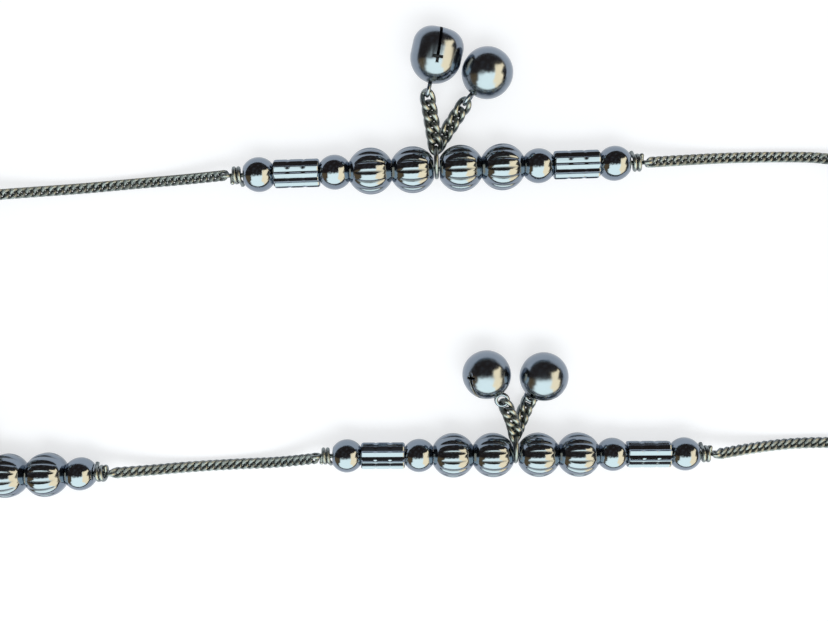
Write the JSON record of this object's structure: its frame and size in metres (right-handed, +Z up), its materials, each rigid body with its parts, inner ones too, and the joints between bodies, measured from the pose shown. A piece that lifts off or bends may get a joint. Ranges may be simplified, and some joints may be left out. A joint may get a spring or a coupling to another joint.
{
  "type": "payal anklet",
  "caption": "Silver payal anklet: fluted, plain and tube beads on wire, joined by curb chain, with pairs of jingle bells, lying flat as a closed loop.",
  "frame": {"origin": "middle of the loop's footprint, on the surface that it lies on", "axes": "+X along the loop's longer side, +Y across it, +Z up"},
  "size_m": [0.1338, 0.0472, 0.0052],
  "materials": {
    "silver_bead": "polished silver",
    "silver_bell": "polished silver",
    "silver_wire": "drawn silver wire, slightly tarnished in its turns",
    "silver_chain": "fine silver curb chain, slightly tarnished between its links"
  },
  "bodies": {
    "root": {"clasp_hook": "silver_wire", "clasp_lower_chain": "silver_chain", "clasp_upper_chain": "silver_chain", "lower_bell_left": "silver_bell", "lower_bell_links": "silver_wire", "lower_bell_right": "silver_bell", "lower_fluted_bead_1": "silver_bead", "lower_fluted_bead_2": "silver_bead", "lower_fluted_bead_3": "silver_bead", "lower_fluted_bead_4": "silver_bead", "lower_left_bell_left": "silver_bell", "lower_left_bell_links": "silver_wire", "lower_left_bell_right": "silver_bell", "lower_left_chain": "silver_chain", "lower_left_fluted_bead_1": "silver_bead", "lower_left_fluted_bead_2": "silver_bead", "lower_left_fluted_bead_3": "silver_bead", "lower_left_fluted_bead_4": "silver_bead", "lower_left_plain_bead_1": "silver_bead", "lower_left_plain_bead_2": "silver_bead", "lower_left_strand_wire": "silver_wire", "lower_plain_bead_1": "silver_bead", "lower_plain_bead_2": "silver_bead", "lower_plain_bead_3": "silver_bead", "lower_plain_bead_4": "silver_bead", "lower_right_chain": "silver_chain", "lower_strand_wire": "silver_wire", "lower_tube_bead_1": "silver_bead", "lower_tube_bead_2": "silver_bead", "right_beads": "silver_bead", "right_bell_left": "silver_bell", "right_bell_links": "silver_wire", "right_bell_right": "silver_bell", "right_strand_wire": "silver_wire", "upper_bell_left": "silver_bell", "upper_bell_links": "silver_wire", "upper_bell_right": "silver_bell", "upper_fluted_bead_1": "silver_bead", "upper_fluted_bead_2": "silver_bead", "upper_fluted_bead_3": "silver_bead", "upper_fluted_bead_4": "silver_bead", "upper_left_beads": "silver_bead", "upper_left_bell_left": "silver_bell", "upper_left_bell_links": "silver_wire", "upper_left_bell_right": "silver_bell", "upper_left_chain": "silver_chain", "upper_left_strand_wire": "silver_wire", "upper_plain_bead_1": "silver_bead", "upper_plain_bead_2": "silver_bead", "upper_plain_bead_3": "silver_bead", "upper_plain_bead_4": "silver_bead", "upper_right_chain": "silver_chain", "upper_strand_wire": "silver_wire", "upper_tube_bead_1": "silver_bead", "upper_tube_bead_2": "silver_bead"}
  },
  "joints": []
}
